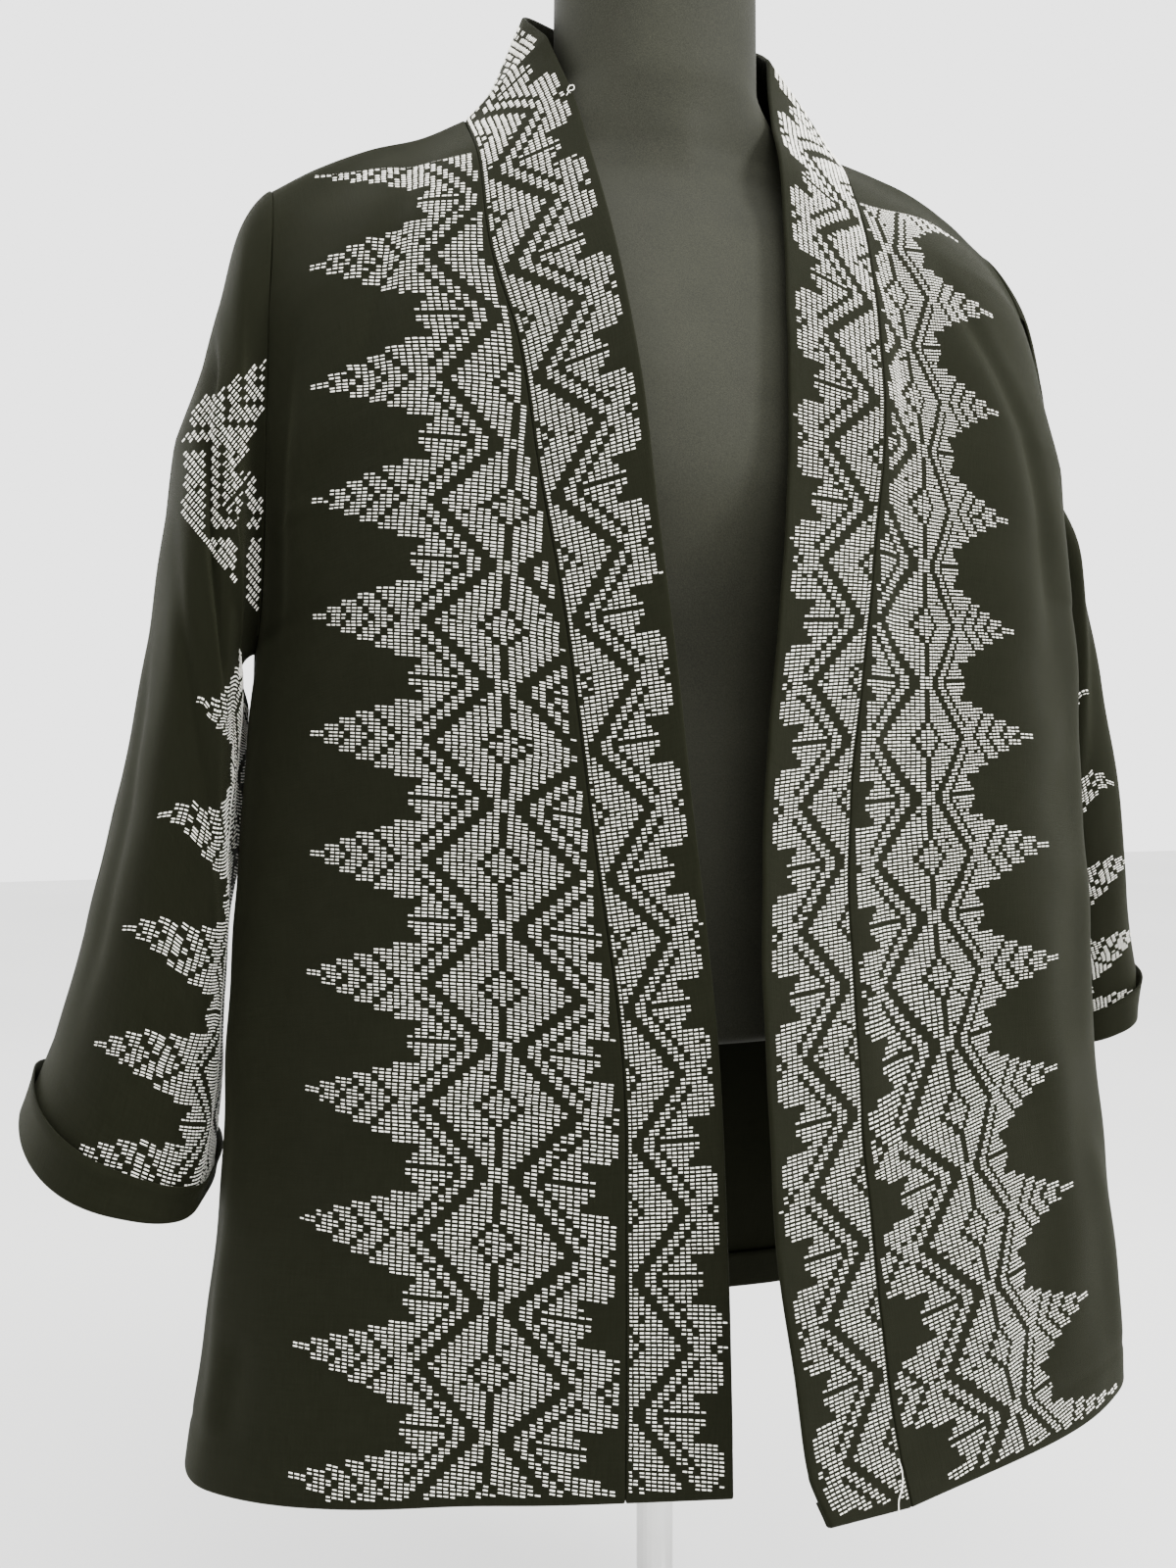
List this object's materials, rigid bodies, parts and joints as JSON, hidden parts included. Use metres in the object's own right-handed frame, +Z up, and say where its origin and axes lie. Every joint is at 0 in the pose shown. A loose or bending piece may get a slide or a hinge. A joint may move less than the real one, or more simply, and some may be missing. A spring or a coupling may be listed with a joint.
{
  "type": "haori jacket on dress form",
  "caption": "Open-fronted haori jacket with straight sleeves and a folded neck band, hanging on a smooth limbless dress form on a round base.",
  "frame": {"origin": "middle of the stand's underside", "axes": "+Z up, the front faces -Y and the wearer's right side is -X"},
  "size_m": [0.6989, 0.3554, 1.0723],
  "materials": {
    "black_cloth": "dense black weave with an olive cast, soft low sheen",
    "band_cloth": "the same cloth folded double",
    "white_weft": "cream-white floats of a thicker weft, soft satin",
    "form_skin": "matte dark olive-grey, finely speckled",
    "form_cap": "satin dark plastic",
    "stand_metal": "brushed"
  },
  "bodies": {
    "root": {"back_panel": "black_cloth", "right_front": "black_cloth", "left_front": "black_cloth", "right_sleeve": "black_cloth", "left_sleeve": "black_cloth", "right_band": "band_cloth", "left_band": "band_cloth", "torso": "form_skin", "neck_cap": "form_cap", "base": "stand_metal", "post": "stand_metal", "socket": "stand_metal", "flange": "stand_metal"}
  },
  "joints": []
}
